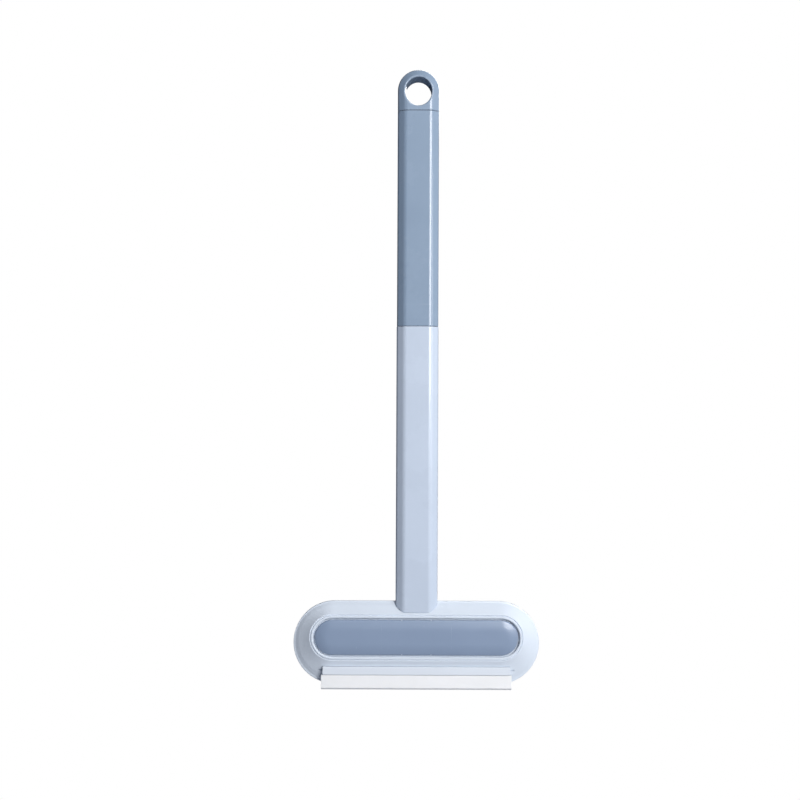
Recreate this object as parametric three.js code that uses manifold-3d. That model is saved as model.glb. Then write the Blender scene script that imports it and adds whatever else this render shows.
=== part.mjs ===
// Hand brush with a window squeegee, a lint pad and a two-part handle.
// Millimetres. +Z runs up the handle, -Y is the front face, +X is to the right seen from the front.
// The origin is the centre of the hanging hole at the top of the handle.

import * as THREE from 'three';
import { mergeVertices } from 'three/addons/utils/BufferGeometryUtils.js';
import Module from 'manifold-3d';

const wasm = await Module();
wasm.setup();

// ---------------------------------------------------------------- driving dimensions

const GAP = 0.3; // air between pieces that touch
const WALL = 2.0; // moulded shells
const TUBE_WALL = 1.8;

// handle section: an eight-sided tube with soft corners
const HANDLE_W = 31.2;
const HANDLE_D = 18.0;
const FLAT_W = 19.8; // front flat, measured to its sharp corners
const SIDE_D = 10.0; // side flat, measured to its sharp corners
const FRONT_CORNER_R = 6.0;
const SIDE_CORNER_R = 3.0;
const POLE_GROW = 0.2; // the pole is a little fatter than the grip all round

// stations along the handle
const CAP_ROUND_Z = 1.4; // centre of the round top
const CAP_SEAM_Z = -14.5;
const HANDLE_SEAM_Z = -177;
const SPIGOT_L = 45;
const PLUG_L = 25;

// hanging hole
const HOLE_W = 20;
const HOLE_H = 21.4;

// head: a stadium rim with a smaller, raised plateau
const HEAD_W = 185.6;
const HEAD_H = 62.5;
const HEAD_Z = -415.7; // centre of the rim
const RIM_HALF = 1.7; // straight edge of each shell
const PLATEAU_W = 160.8;
const PLATEAU_H = 35.2;
const PLATEAU_UP = 4.95; // the front plateau sits above the rim's centre
const FRONT_Y = 9.5; // front plateau, in front of the split
const BACK_PLATEAU_W = 169;
const BACK_PLATEAU_H = 47;
const BACK_Y = 9.6; // back plateau, behind the split

// front panel and the lip round it
const PANEL_W = 152.6;
const PANEL_H = 26.4;
const PANEL_Z = HEAD_Z + PLATEAU_UP;
const PANEL_GAP = 0.5;
const LIP_W = 1.9;
const LIP_RISE = 0.6;
const RECESS_FLOOR_Y = 7.9;
const PANEL_BACK_Y = RECESS_FLOOR_Y + GAP;
const FRONT_CEILING_Y = RECESS_FLOOR_Y - WALL;
const TAB_W = 22; // clip tab at the middle of the panel's long edges
const LEG_END_Y = 4.7; // the panel's clip legs reach this far in

// squeegee
const HOLDER_W = 140.6;
const HOLDER_H = 6.0;
const HOLDER_TOP_Z = -432.85;
const HOLDER_FRONT_Y = 9.4;
const HOLDER_BACK_Y = 4.8;
const BLADE_W = 143;
const BLADE_TIP_Z = -449.4;
const SLOT_FLOOR_Y = 4.5;
const SLIT_L = 3.2; // narrow relief past each end of the slot
const PEG_X = [-45, 0, 45];
const PEG_W = 8;

// pocket and lint pad on the back
const POCKET_W = 160;
const POCKET_H = 39;
const POCKET_FLOOR_Y = 4.6;
const BACK_CEILING_Y = POCKET_FLOOR_Y - WALL;
const CARRIER_Y = [6.5, 8.0];
const FOAM_Y = [8.3, 9.9];
const NAP_Y = [10.2, 12.2];
const LEG_X = 50;
const LEG_UP = 15;
const LEG_W = 8;
const LEG_T = 1.6;

// neck: the plug in the pole's foot and its tongue inside the head
const NECK_TOP_Z = -360;
const NECK_SOLID_Z = -378;
const TONGUE_W = 22;
const TONGUE_Y = [-4.2, 2.3];
const TONGUE_FOOT_Z = -412;

// screws
const SHANK_R = 1.35;
const PILOT_R = SHANK_R + GAP;
const HEAD_R = 2.8;
const HEAD_T = 1.2;
const BOSS_R = 3.5;
const SHELL_SCREW_X = 62;
const SHELL_SCREW_UP = 11.3;
const NECK_SCREW_X = 6;
const NECK_SCREW_Z = -403;
const TUBE_SCREW_Z = { cap: -24.5, coupler: -164.5, pole: -371 };

// ---------------------------------------------------------------- outlines

const ARC_STEPS = 14; // steps in each round end of a stadium

// An outline is a list of [a, b] pairs. Each corner is cut back and replaced with an arc.
function roundCorners(points, radii, steps = 4) {
  const outline = [];
  points.forEach(([px, py], i) => {
    const [ax, ay] = points[(i + points.length - 1) % points.length];
    const [bx, by] = points[(i + 1) % points.length];
    const corner = new THREE.Vector2(px, py);
    const back = new THREE.Vector2(ax, ay).sub(corner).normalize();
    const on = new THREE.Vector2(bx, by).sub(corner).normalize();
    const half = Math.acos(THREE.MathUtils.clamp(back.dot(on), -1, 1)) / 2;
    const reach = radii[i] / Math.tan(half);
    const centre = back.clone().add(on).normalize().multiplyScalar(radii[i] / Math.sin(half)).add(corner);
    const from = back.multiplyScalar(reach).add(corner).sub(centre);
    const to = on.multiplyScalar(reach).add(corner).sub(centre);
    const sweep = Math.atan2(from.x * to.y - from.y * to.x, from.dot(to));
    for (let s = 0; s <= steps; s += 1) {
      const p = from.clone().rotateAround(new THREE.Vector2(), (sweep * s) / steps).add(centre);
      outline.push([p.x, p.y]);
    }
  });
  return outline;
}

// The handle's section in X and Y, made smaller all round by inset (or larger if it is negative).
function handleSection(inset = 0) {
  const tilt = Math.atan2((HANDLE_D - SIDE_D) / 2, (HANDLE_W - FLAT_W) / 2);
  const w = HANDLE_W / 2 - inset;
  const d = HANDLE_D / 2 - inset;
  const flat = FLAT_W / 2 - inset * Math.tan(tilt / 2);
  const side = SIDE_D / 2 - inset * Math.tan((Math.PI / 2 - tilt) / 2);
  const points = [
    [flat, -d], [w, -side], [w, side], [flat, d],
    [-flat, d], [-w, side], [-w, -side], [-flat, -d],
  ];
  const front = Math.max(FRONT_CORNER_R - inset, 0.8);
  const edge = Math.max(SIDE_CORNER_R - inset, 0.8);
  return roundCorners(points, [front, edge, edge, front, front, edge, edge, front]);
}

// A stadium in X and Z: width, height, and the height of its centre.
function stadium(w, h, z) {
  const r = h / 2;
  const straight = w / 2 - r;
  const outline = [];
  for (const side of [1, -1]) {
    for (let s = 0; s <= ARC_STEPS; s += 1) {
      const a = -Math.PI / 2 + (Math.PI * s) / ARC_STEPS;
      outline.push([side * (straight + r * Math.cos(a)), z + side * r * Math.sin(a)]);
    }
  }
  return outline;
}

function ellipse(w, h, steps = 40) {
  return Array.from({ length: steps }, (_, s) => {
    const a = (2 * Math.PI * s) / steps;
    return [(w / 2) * Math.cos(a), (h / 2) * Math.sin(a)];
  });
}

// ---------------------------------------------------------------- solids

const alongX = (outline, x) => outline.map(([y, z]) => new THREE.Vector3(x, y, z));
const alongY = (outline, y) => outline.map(([x, z]) => new THREE.Vector3(x, y, z));
const alongZ = (outline, z) => outline.map(([x, y]) => new THREE.Vector3(x, y, z));

// A closed skin through rings that have the same number of points, capped at both ends.
function loft(stack, flat) {
  const turnedBack = THREE.ShapeUtils.isClockWise(stack[0].map(flat));
  const rings = turnedBack ? stack.map((ring) => [...ring].reverse()) : stack;
  const count = rings[0].length;
  const position = rings.flat().flatMap((p) => [p.x, p.y, p.z]);
  const index = [];
  for (let r = 0; r + 1 < rings.length; r += 1) {
    for (let i = 0; i < count; i += 1) {
      const a = r * count + i;
      const b = r * count + ((i + 1) % count);
      index.push(a, b, b + count, a, b + count, a + count);
    }
  }
  const last = (rings.length - 1) * count;
  for (const [i, j, k] of THREE.ShapeUtils.triangulateShape(rings[0].map(flat), [])) index.push(i, k, j);
  for (const [i, j, k] of THREE.ShapeUtils.triangulateShape(rings.at(-1).map(flat), [])) {
    index.push(last + i, last + j, last + k);
  }
  const geometry = new THREE.BufferGeometry();
  geometry.setAttribute('position', new THREE.Float32BufferAttribute(position, 3));
  geometry.setIndex(signedVolume(position, index) < 0 ? index.reverse() : index);
  return solid(geometry);
}

function signedVolume(position, index) {
  const [a, b, c] = [new THREE.Vector3(), new THREE.Vector3(), new THREE.Vector3()];
  let volume = 0;
  for (let t = 0; t < index.length; t += 3) {
    a.fromArray(position, index[t] * 3);
    b.fromArray(position, index[t + 1] * 3);
    c.fromArray(position, index[t + 2] * 3);
    volume += a.dot(b.cross(c)) / 6;
  }
  return volume;
}

function solid(geometry) {
  const bare = geometry.clone();
  bare.deleteAttribute('normal');
  bare.deleteAttribute('uv');
  const merged = mergeVertices(bare, 1e-5);
  return new wasm.Manifold(new wasm.Mesh({
    numProp: 3,
    vertProperties: new Float32Array(merged.attributes.position.array),
    triVerts: new Uint32Array(merged.index.array),
  }));
}

const onX = (p) => new THREE.Vector2(p.y, p.z);
const onY = (p) => new THREE.Vector2(p.x, p.z);
const onZ = (p) => new THREE.Vector2(p.x, p.y);

const barX = (outline, from, to) => loft([alongX(outline, from), alongX(outline, to)], onX);
const barY = (outline, from, to) => loft([alongY(outline, from), alongY(outline, to)], onY);
const barZ = (outline, from, to) => loft([alongZ(outline, from), alongZ(outline, to)], onZ);

function block([x0, x1], [y0, y1], [z0, z1]) {
  const geometry = new THREE.BoxGeometry(x1 - x0, y1 - y0, z1 - z0);
  geometry.translate((x0 + x1) / 2, (y0 + y1) / 2, (z0 + z1) / 2);
  return solid(geometry);
}

// A round bar along Y.
function rod(x, z, [y0, y1], radius, steps = 20) {
  const geometry = new THREE.CylinderGeometry(radius, radius, y1 - y0, steps);
  geometry.translate(x, (y0 + y1) / 2, z);
  return solid(geometry);
}

// A body turned about Y: profile is a list of [radius, y], from the axis back to the axis.
function turned(profile, x, z, steps = 20) {
  const points = profile.map(([r, y]) => new THREE.Vector2(r, y));
  const geometry = new THREE.LatheGeometry(points, steps);
  geometry.translate(x, 0, z);
  return solid(geometry);
}

const joined = (...solids) => solids.reduce((all, next) => all.add(next));

// ---------------------------------------------------------------- object

const object = new THREE.Group();

function piece(name, body, colour, roughness, metalness = 0) {
  const { vertProperties, triVerts } = body.getMesh();
  const geometry = new THREE.BufferGeometry();
  geometry.setAttribute('position', new THREE.BufferAttribute(new Float32Array(vertProperties), 3));
  geometry.setIndex(new THREE.BufferAttribute(new Uint32Array(triVerts), 1));
  geometry.computeVertexNormals();
  const material = new THREE.MeshStandardMaterial({ color: colour, roughness, metalness });
  const mesh = new THREE.Mesh(geometry, material);
  mesh.name = name;
  object.add(mesh);
}

const GRIP_BLUE = 0x8b9cb5;
const PALE_BLUE = 0xc8d2e2;
const SCREW_GREY = 0x9a9da3;

// ---------------------------------------------------------------- handle

// The right half of the handle's section, swept up the straight sides and over the round top.
function hangCap() {
  const section = handleSection();
  const rightHalf = section.slice(0, section.length / 2);
  const body = loft(rightHalf.map(([x, y]) => alongY(archOutline(x), y)), onY);
  const spigot = barZ(handleSection(TUBE_WALL + GAP), CAP_SEAM_Z - 20, CAP_SEAM_Z + 2);
  const hollow = barZ(handleSection(TUBE_WALL + GAP + WALL), CAP_SEAM_Z - 21, CAP_SEAM_Z - 1.5);
  return joined(body, spigot)
    .subtract(barY(ellipse(HOLE_W, HOLE_H), -10, 10))
    .subtract(hollow)
    .subtract(tubeScrewHole(TUBE_SCREW_Z.cap));
}

// The cap's front view: straight sides and a half-round top.
function archOutline(r) {
  const outline = [[-r, CAP_SEAM_Z + GAP / 2], [r, CAP_SEAM_Z + GAP / 2]];
  for (let s = 0; s <= 28; s += 1) {
    const a = (Math.PI * s) / 28;
    outline.push([r * Math.cos(a), CAP_ROUND_Z + r * Math.sin(a)]);
  }
  return outline;
}

function gripTube() {
  const [foot, top] = [HANDLE_SEAM_Z + GAP / 2, CAP_SEAM_Z - GAP / 2];
  return barZ(handleSection(), foot, top)
    .subtract(barZ(handleSection(TUBE_WALL), foot - 1, top + 1))
    .subtract(tubeScrewHole(TUBE_SCREW_Z.cap))
    .subtract(tubeScrewHole(TUBE_SCREW_Z.coupler));
}

// The coupler is fixed in the grip, and the pole pushes on to its lower half.
function handleCoupler() {
  const [foot, top] = [HANDLE_SEAM_Z - SPIGOT_L, HANDLE_SEAM_Z + PLUG_L];
  const lead = 1.5;
  const outer = loft([
    alongZ(handleSection(TUBE_WALL + GAP + 0.8), foot),
    alongZ(handleSection(TUBE_WALL + GAP), foot + lead),
    alongZ(handleSection(TUBE_WALL + GAP), top),
  ], onZ);
  return outer
    .subtract(barZ(handleSection(TUBE_WALL + GAP + WALL), foot - 1, top + 1))
    .subtract(tubeScrewHole(TUBE_SCREW_Z.coupler));
}

function poleTube() {
  const [foot, top] = [HEAD_Z, HANDLE_SEAM_Z - GAP / 2];
  const inner = barZ(handleSection(TUBE_WALL), foot - 1, top + 1);
  return barZ(handleSection(-POLE_GROW), foot, top)
    .subtract(inner)
    .subtract(headEnvelope(GAP + 0.05))
    .subtract(block([-HANDLE_W, HANDLE_W], [-HANDLE_D, HANDLE_D], [foot - 1, PANEL_Z + PLATEAU_H / 2 + 0.6]))
    .subtract(tubeScrewHole(TUBE_SCREW_Z.pole, POLE_GROW));
}

// A countersunk hole through the back of a tube and the plug inside it.
function tubeScrewHole(z, grow = 0) {
  const face = HANDLE_D / 2 + grow;
  const rim = HEAD_R + GAP;
  return turned([[0, 2], [PILOT_R, 2], [PILOT_R, face - 1.6], [rim, face], [rim, face + 1], [0, face + 1]], 0, z);
}

function tubeScrew(z, grow = 0) {
  const face = HANDLE_D / 2 + grow - 0.1;
  const profile = [[0, 2.5], [SHANK_R, 3.3], [SHANK_R, face - 1.6], [HEAD_R, face], [0, face]];
  return turned(profile, 0, z).subtract(crossRecess(0, z, face));
}

function crossRecess(x, z, face) {
  const [long, thin, deep] = [1.6, 0.35, 0.9];
  return joined(
    block([x - long, x + long], [face - deep, face + 1], [z - thin, z + thin]),
    block([x - thin, x + thin], [face - deep, face + 1], [z - long, z + long]),
  );
}

// ---------------------------------------------------------------- head

const FRONT = { side: -1, w: PLATEAU_W, h: PLATEAU_H, up: PLATEAU_UP, y: FRONT_Y, bulge: -0.2 };
const BACK = { side: 1, w: BACK_PLATEAU_W, h: BACK_PLATEAU_H, up: 0, y: BACK_Y, bulge: 0.3 };

// How far out from the split the slope stands, u = 0 at the rim and 1 at the plateau's edge.
function slopeHeight(form, u) {
  const bulge = Math.sin((Math.PI * u) / 2) - u;
  return RIM_HALF + (form.y - RIM_HALF) * (u + form.bulge * bulge);
}

function slopeOutline(form, u, grow = 0) {
  const mix = THREE.MathUtils.lerp;
  return stadium(mix(HEAD_W, form.w, u) + 2 * grow, mix(HEAD_H, form.h, u) + 2 * grow, HEAD_Z + form.up * u);
}

// One solid half of the head, from the split to its plateau.
function headHalf(form, split, grow = 0) {
  const rings = [alongY(slopeOutline(form, 0, grow), form.side * split)];
  for (let s = 0; s <= 8; s += 1) {
    rings.push(alongY(slopeOutline(form, s / 8, grow), form.side * (slopeHeight(form, s / 8) + grow)));
  }
  return loft(rings, onY);
}

// The hollow of one half, up to a flat ceiling.
function headHollow(form, ceiling) {
  const rings = [alongY(slopeOutline(form, 0, -WALL), form.side * -1)];
  for (let s = 1; s <= 7; s += 1) {
    const y = slopeHeight(form, s / 8) - WALL - 0.2;
    if (y > 0 && y < ceiling - 0.2) rings.push(alongY(slopeOutline(form, s / 8, -1.2), form.side * y));
  }
  rings.push(alongY(slopeOutline(form, 0.8, -1.2), form.side * ceiling));
  return loft(rings, onY);
}

const headEnvelope = (grow) => joined(headHalf(FRONT, -0.5, grow), headHalf(BACK, -0.5, grow));

const shellScrewSpots = [-1, 1].flatMap((i) => [-1, 1].map((k) => [i * SHELL_SCREW_X, HEAD_Z + k * SHELL_SCREW_UP]));
const neckScrewSpots = [-NECK_SCREW_X, NECK_SCREW_X].map((x) => [x, NECK_SCREW_Z]);

const slotZ = [HOLDER_TOP_Z - HOLDER_H - 0.25, HOLDER_TOP_Z + 0.25];

function squeegeeSlot() {
  const half = HOLDER_W / 2 + GAP;
  const slitZ = (slotZ[0] + slotZ[1]) / 2;
  const cuts = [
    block([-half, half], [-20, -SLOT_FLOOR_Y], slotZ),
    block([-half - SLIT_L, half + SLIT_L], [-20, -SLOT_FLOOR_Y - 1], [slitZ - 0.7, slitZ + 0.7]),
  ];
  for (const x of PEG_X) {
    cuts.push(block([x - PEG_W / 2 - GAP, x + PEG_W / 2 + GAP], [-SLOT_FLOOR_Y - 1, 0], pegZ(GAP)));
  }
  return joined(...cuts);
}

const pegZ = (grow) => [HOLDER_TOP_Z - 4.2 - grow, HOLDER_TOP_Z - 1.8 + grow];

// The clip legs under the front panel, at the middle of its long edges.
function panelLegs(grow) {
  const legs = [];
  for (const k of [-1, 1]) {
    const edge = PANEL_Z + k * (PANEL_H / 2 - 1.2);
    const inner = edge - k * 1.4;
    const zs = [Math.min(edge, inner) - grow, Math.max(edge, inner) + grow];
    legs.push(block([-TAB_W / 2 + 1 - grow, TAB_W / 2 - 1 + grow], [-PANEL_BACK_Y - 0.5, -LEG_END_Y], zs));
  }
  return joined(...legs);
}

function panelBarbs() {
  const barbs = [];
  for (const k of [-1, 1]) {
    const edge = PANEL_Z + k * (PANEL_H / 2 - 1.2);
    const out = edge + k * 0.9;
    const top = FRONT_CEILING_Y - GAP;
    const hook = [[-top, edge - k * 0.2], [-top, out], [-LEG_END_Y, edge]];
    barbs.push(barX(hook, -TAB_W / 2 + 1, TAB_W / 2 - 1));
  }
  return joined(...barbs);
}

function headFrontShell() {
  const outer = headHalf(FRONT, GAP / 2);
  const lip = barY(growPanel(PANEL_GAP + LIP_W), -FRONT_Y + 1, -FRONT_Y - LIP_RISE);
  const recess = barY(growPanel(PANEL_GAP), -RECESS_FLOOR_Y, -20);
  const housingY = [-FRONT_Y, -SLOT_FLOOR_Y + 1.6];
  const housing = block([-77, 77], housingY, [slotZ[0] - 1.8, slotZ[1] + 1.8]).intersect(outer);
  let shell = outer.subtract(headHollow(FRONT, FRONT_CEILING_Y)).add(housing).add(lip);
  for (const [x, z] of shellScrewSpots) shell = shell.add(rod(x, z, [-FRONT_CEILING_Y - 0.5, -GAP], BOSS_R));
  for (const [x, z] of shellScrewSpots) shell = shell.subtract(rod(x, z, [-FRONT_CEILING_Y, 1], PILOT_R));
  return shell.subtract(recess).subtract(squeegeeSlot()).subtract(panelLegs(GAP)).subtract(neckOpening());
}

const growPanel = (grow) => stadium(PANEL_W + 2 * grow, PANEL_H + 2 * grow, PANEL_Z);

function neckOpening() {
  const half = TONGUE_W / 2 + GAP;
  return block([-half, half], [TONGUE_Y[0] - GAP, TONGUE_Y[1] + GAP], [-392, -380]);
}

function frontPanel() {
  const levels = [
    [PANEL_BACK_Y, 0], [10.0, 0], [10.5, 0.35], [10.75, 1.0], [10.95, 3.5], [11.1, 8.0],
  ];
  const rings = levels.map(([y, inset]) => alongY(growPanel(-inset), -y));
  let panel = loft(rings, onY);
  for (const x of [-TAB_W / 2, TAB_W / 2]) {
    for (const k of [-1, 1]) {
      const edge = PANEL_Z + (k * PANEL_H) / 2;
      panel = panel.subtract(block([x - 0.45, x + 0.45], [-20, 0], [edge - 0.8, edge + 0.8]));
    }
  }
  return joined(panel, panelLegs(0), panelBarbs());
}

function headBackShell() {
  let shell = headHalf(BACK, GAP / 2).subtract(headHollow(BACK, BACK_CEILING_Y));
  for (const [x, z] of shellScrewSpots) shell = shell.add(rod(x, z, [GAP, POCKET_FLOOR_Y], BOSS_R));
  shell = shell.subtract(barY(stadium(POCKET_W, POCKET_H, HEAD_Z), POCKET_FLOOR_Y, 20));
  for (const [x, z] of [...shellScrewSpots, ...neckScrewSpots]) {
    shell = shell.subtract(rod(x, z, [-1, POCKET_FLOOR_Y + 1], PILOT_R));
  }
  // thumb notch in the pocket's edge, to lift the pad out
  const notch = turned([[0, 6.4], [9, 6.4], [10.5, 20], [0, 20]], POCKET_W / 2 - 2, HEAD_Z, 24);
  return shell.subtract(notch).subtract(carrierLegs(GAP)).subtract(neckOpening());
}

function shellScrew(x, z, tip) {
  const under = POCKET_FLOOR_Y + GAP;
  const face = under + HEAD_T;
  const profile = [
    [0, tip], [SHANK_R, tip + 1], [SHANK_R, under], [HEAD_R, under], [HEAD_R, face - 0.4],
    [HEAD_R - 0.6, face], [0, face],
  ];
  return turned(profile, x, z).subtract(crossRecess(x, z, face));
}

// The neck plugs into the pole's foot and its tongue is screwed to the back shell inside the head.
function neckInsert() {
  const plug = barZ(handleSection(TUBE_WALL + GAP), HEAD_Z, NECK_TOP_Z)
    .subtract(barZ(handleSection(TUBE_WALL + GAP + WALL), NECK_SOLID_Z, NECK_TOP_Z + 1))
    .subtract(headEnvelope(GAP + 0.05))
    .subtract(block([-HANDLE_W, HANDLE_W], [-HANDLE_D, HANDLE_D], [HEAD_Z - 1, PANEL_Z + PLATEAU_H / 2 + 1]));
  const tongue = block([-TONGUE_W / 2, TONGUE_W / 2], TONGUE_Y, [TONGUE_FOOT_Z, NECK_SOLID_Z - 2]);
  let neck = joined(plug, tongue).subtract(tubeScrewHole(TUBE_SCREW_Z.pole, POLE_GROW));
  for (const [x, z] of neckScrewSpots) neck = neck.subtract(rod(x, z, [TONGUE_Y[0] - 1, TONGUE_Y[1] + 1], PILOT_R));
  return neck;
}

// ---------------------------------------------------------------- squeegee

// Both squeegee profiles are in Y and Z, with Z counted down from the holder's top.
function fromHolderTop(points) {
  return points.map(([y, down]) => [y, HOLDER_TOP_Z - down]);
}

function squeegeeHolder() {
  const [front, back] = [-HOLDER_FRONT_Y, -HOLDER_BACK_Y];
  const profile = fromHolderTop([
    [front + 0.3, 0], [back, 0], [back, HOLDER_H], [front + 3.0, HOLDER_H], [front + 3.0, 4.4],
    [front + 3.8, 4.4], [front + 3.8, 1.8], [front + 0.8, 1.8], [front + 0.8, 4.4], [front + 1.0, 4.4],
    [front + 1.0, HOLDER_H], [front, HOLDER_H], [front, 0.4],
  ]);
  let holder = barX(profile, -HOLDER_W / 2, HOLDER_W / 2);
  for (const x of PEG_X) {
    holder = holder.add(block([x - PEG_W / 2, x + PEG_W / 2], [back - 0.2, -2.0], pegZ(0)));
  }
  return holder;
}

// The lip hangs under the holder, and a bead as long as the holder sits in its groove.
function squeegeeBlade() {
  const front = -HOLDER_FRONT_Y;
  const foot = HOLDER_TOP_Z - BLADE_TIP_Z;
  const shoulder = HOLDER_H + GAP;
  const lip = fromHolderTop([
    [front + 3.3, shoulder], [front + 2.5, foot - 1.5], [front + 1.6, foot],
    [front + 1.0, foot], [front + 0.9, foot - 1.5], [front + 0.6, shoulder],
  ]);
  const bead = fromHolderTop([
    [front + 1.1, 2.1], [front + 3.5, 2.1], [front + 3.5, 4.1], [front + 2.7, 4.1],
    [front + 2.7, shoulder + 1], [front + 1.3, shoulder + 1], [front + 1.3, 4.1], [front + 1.1, 4.1],
  ]);
  return joined(barX(lip, -BLADE_W / 2, BLADE_W / 2), barX(bead, -HOLDER_W / 2, HOLDER_W / 2));
}

// ---------------------------------------------------------------- lint pad

function carrierLegs(grow) {
  const legs = [];
  for (const i of [-1, 1]) {
    for (const k of [-1, 1]) {
      const [x, z] = [i * LEG_X, HEAD_Z + k * LEG_UP];
      const [w, t] = [LEG_W / 2 + grow, LEG_T / 2 + grow];
      legs.push(block([x - w, x + w], [1.4 - grow, CARRIER_Y[0] + 0.5], [z - t, z + t]));
    }
  }
  return joined(...legs);
}

function padCarrier() {
  const plate = barY(stadium(POCKET_W - 0.8, POCKET_H - 0.8, HEAD_Z), ...CARRIER_Y);
  return joined(plate, carrierLegs(0));
}

const padFoam = () => barY(stadium(POCKET_W - 2, POCKET_H - 2, HEAD_Z), ...FOAM_Y);

function padNap() {
  const rings = [[NAP_Y[0], 0], [NAP_Y[0] + 1.0, 0], [NAP_Y[0] + 1.7, 0.5], [NAP_Y[1], 1.6]];
  return loft(
    rings.map(([y, inset]) => alongY(stadium(POCKET_W - 1.2 - 2 * inset, POCKET_H - 1.2 - 2 * inset, HEAD_Z), y)),
    onY,
  );
}

// ---------------------------------------------------------------- assembly

piece('hang_cap', hangCap(), GRIP_BLUE, 0.35);
piece('cap_screw', tubeScrew(TUBE_SCREW_Z.cap), SCREW_GREY, 0.35, 1);
piece('grip_tube', gripTube(), GRIP_BLUE, 0.35);
piece('handle_coupler', handleCoupler(), PALE_BLUE, 0.5);
piece('coupler_screw', tubeScrew(TUBE_SCREW_Z.coupler), SCREW_GREY, 0.35, 1);
piece('pole_tube', poleTube(), PALE_BLUE, 0.35);
piece('pole_screw', tubeScrew(TUBE_SCREW_Z.pole, POLE_GROW), SCREW_GREY, 0.35, 1);
piece('neck_insert', neckInsert(), PALE_BLUE, 0.5);
piece('head_front_shell', headFrontShell(), PALE_BLUE, 0.38);
piece('front_panel', frontPanel(), GRIP_BLUE, 0.4);
piece('head_back_shell', headBackShell(), PALE_BLUE, 0.38);
shellScrewSpots.forEach(([x, z], i) => piece(`shell_screw_${i + 1}`, shellScrew(x, z, -5.2), SCREW_GREY, 0.35, 1));
neckScrewSpots.forEach(([x, z], i) => piece(`neck_screw_${i + 1}`, shellScrew(x, z, -3.2), SCREW_GREY, 0.35, 1));
piece('squeegee_holder', squeegeeHolder(), 0xd2dbe6, 0.4);
piece('squeegee_blade', squeegeeBlade(), 0xf3f2f4, 0.5);
piece('pad_carrier', padCarrier(), PALE_BLUE, 0.5);
piece('pad_foam', padFoam(), 0xd8dade, 0.9);
piece('pad_nap', padNap(), 0x8b9cb5, 0.95);

export default object;
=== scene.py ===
# The looks of a long-handled lint brush with a window squeegee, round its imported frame.
# Shapes are worked out in millimetres and made into meshes in metres.
# +Z runs up the handle, -Y is the front face, +X is to the right seen from the front.
import math

import bmesh
import bpy
import numpy as np
from mathutils import Matrix, Vector

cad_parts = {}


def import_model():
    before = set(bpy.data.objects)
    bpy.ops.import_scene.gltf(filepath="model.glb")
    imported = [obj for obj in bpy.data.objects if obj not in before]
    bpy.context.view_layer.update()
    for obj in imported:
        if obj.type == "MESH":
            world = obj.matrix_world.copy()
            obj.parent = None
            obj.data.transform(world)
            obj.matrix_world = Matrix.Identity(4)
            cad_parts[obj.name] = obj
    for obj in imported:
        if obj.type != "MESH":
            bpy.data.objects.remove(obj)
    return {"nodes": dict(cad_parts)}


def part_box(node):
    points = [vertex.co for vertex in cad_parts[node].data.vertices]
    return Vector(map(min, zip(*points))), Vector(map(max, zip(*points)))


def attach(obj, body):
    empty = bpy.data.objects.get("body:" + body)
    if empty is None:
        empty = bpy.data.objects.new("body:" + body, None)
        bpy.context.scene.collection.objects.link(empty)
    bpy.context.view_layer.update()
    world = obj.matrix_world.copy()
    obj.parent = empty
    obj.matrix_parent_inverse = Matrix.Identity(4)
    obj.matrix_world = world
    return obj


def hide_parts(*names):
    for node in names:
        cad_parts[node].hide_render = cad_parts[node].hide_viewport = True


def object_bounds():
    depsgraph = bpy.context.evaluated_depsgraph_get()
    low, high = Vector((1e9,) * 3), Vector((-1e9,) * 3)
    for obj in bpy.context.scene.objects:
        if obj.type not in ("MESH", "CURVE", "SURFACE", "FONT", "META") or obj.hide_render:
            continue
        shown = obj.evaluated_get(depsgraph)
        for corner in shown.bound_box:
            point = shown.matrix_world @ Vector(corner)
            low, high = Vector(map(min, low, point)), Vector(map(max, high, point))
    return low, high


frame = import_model()
cad_low, cad_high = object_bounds()

MM = 0.001


# ---------------------------------------------------------------- sizes, from the frame

def box_mm(node):
    low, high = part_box(node)
    return low / MM, high / MM


grip_low, grip_high = box_mm("grip_tube")
pole_low, pole_high = box_mm("pole_tube")
cap_high = box_mm("hang_cap")[1]
front_low, front_high = box_mm("head_front_shell")
back_high = box_mm("head_back_shell")[1]
panel_low, panel_high = box_mm("front_panel")
holder_low, holder_high = box_mm("squeegee_holder")
blade_low, blade_high = box_mm("squeegee_blade")
carrier_low, carrier_high = box_mm("pad_carrier")
foam_low, foam_high = box_mm("pad_foam")
nap_low, nap_high = box_mm("pad_nap")
coupler_low, coupler_high = box_mm("handle_coupler")

GAP = 0.3
WALL = 2.0
TUBE_WALL = 1.8

HANDLE_W = grip_high.x - grip_low.x
HANDLE_D = grip_high.y - grip_low.y
FLAT_W = 19.8
SIDE_D = 10.0
FRONT_CORNER_R = 6.0
SIDE_CORNER_R = 3.0
POLE_GROW = (pole_high.x - pole_low.x - HANDLE_W) / 2

CAP_R = HANDLE_W / 2
CAP_ROUND_Z = cap_high.z - CAP_R
CAP_SEAM_Z = grip_high.z + GAP / 2
HOLE_A = 10.0
HOLE_B = 10.7

HEAD_W = front_high.x - front_low.x
HEAD_H = front_high.z - front_low.z
HEAD_Z = (front_high.z + front_low.z) / 2
RIM_HALF = 1.7
SLOPE_RUN = 12.4  # from the rim to the plateau's edge, at the ends
FRONT_RUN = 4.1  # from the plateau's edge to the panel's edge

PANEL_W = panel_high.x - panel_low.x
PANEL_H = panel_high.z - panel_low.z
PANEL_Z = (panel_high.z + panel_low.z) / 2
TRENCH_W = 1.3
TRENCH_EXTRA = 0.9  # how much deeper the trench is than the recess
LIP_RISE = 0.6
LIP_Y = -front_low.y
FRONT_Y = LIP_Y - LIP_RISE
RECESS_FLOOR_Y = FRONT_Y - 1.6
FRONT_CEILING_Y = RECESS_FLOOR_Y - WALL

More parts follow.
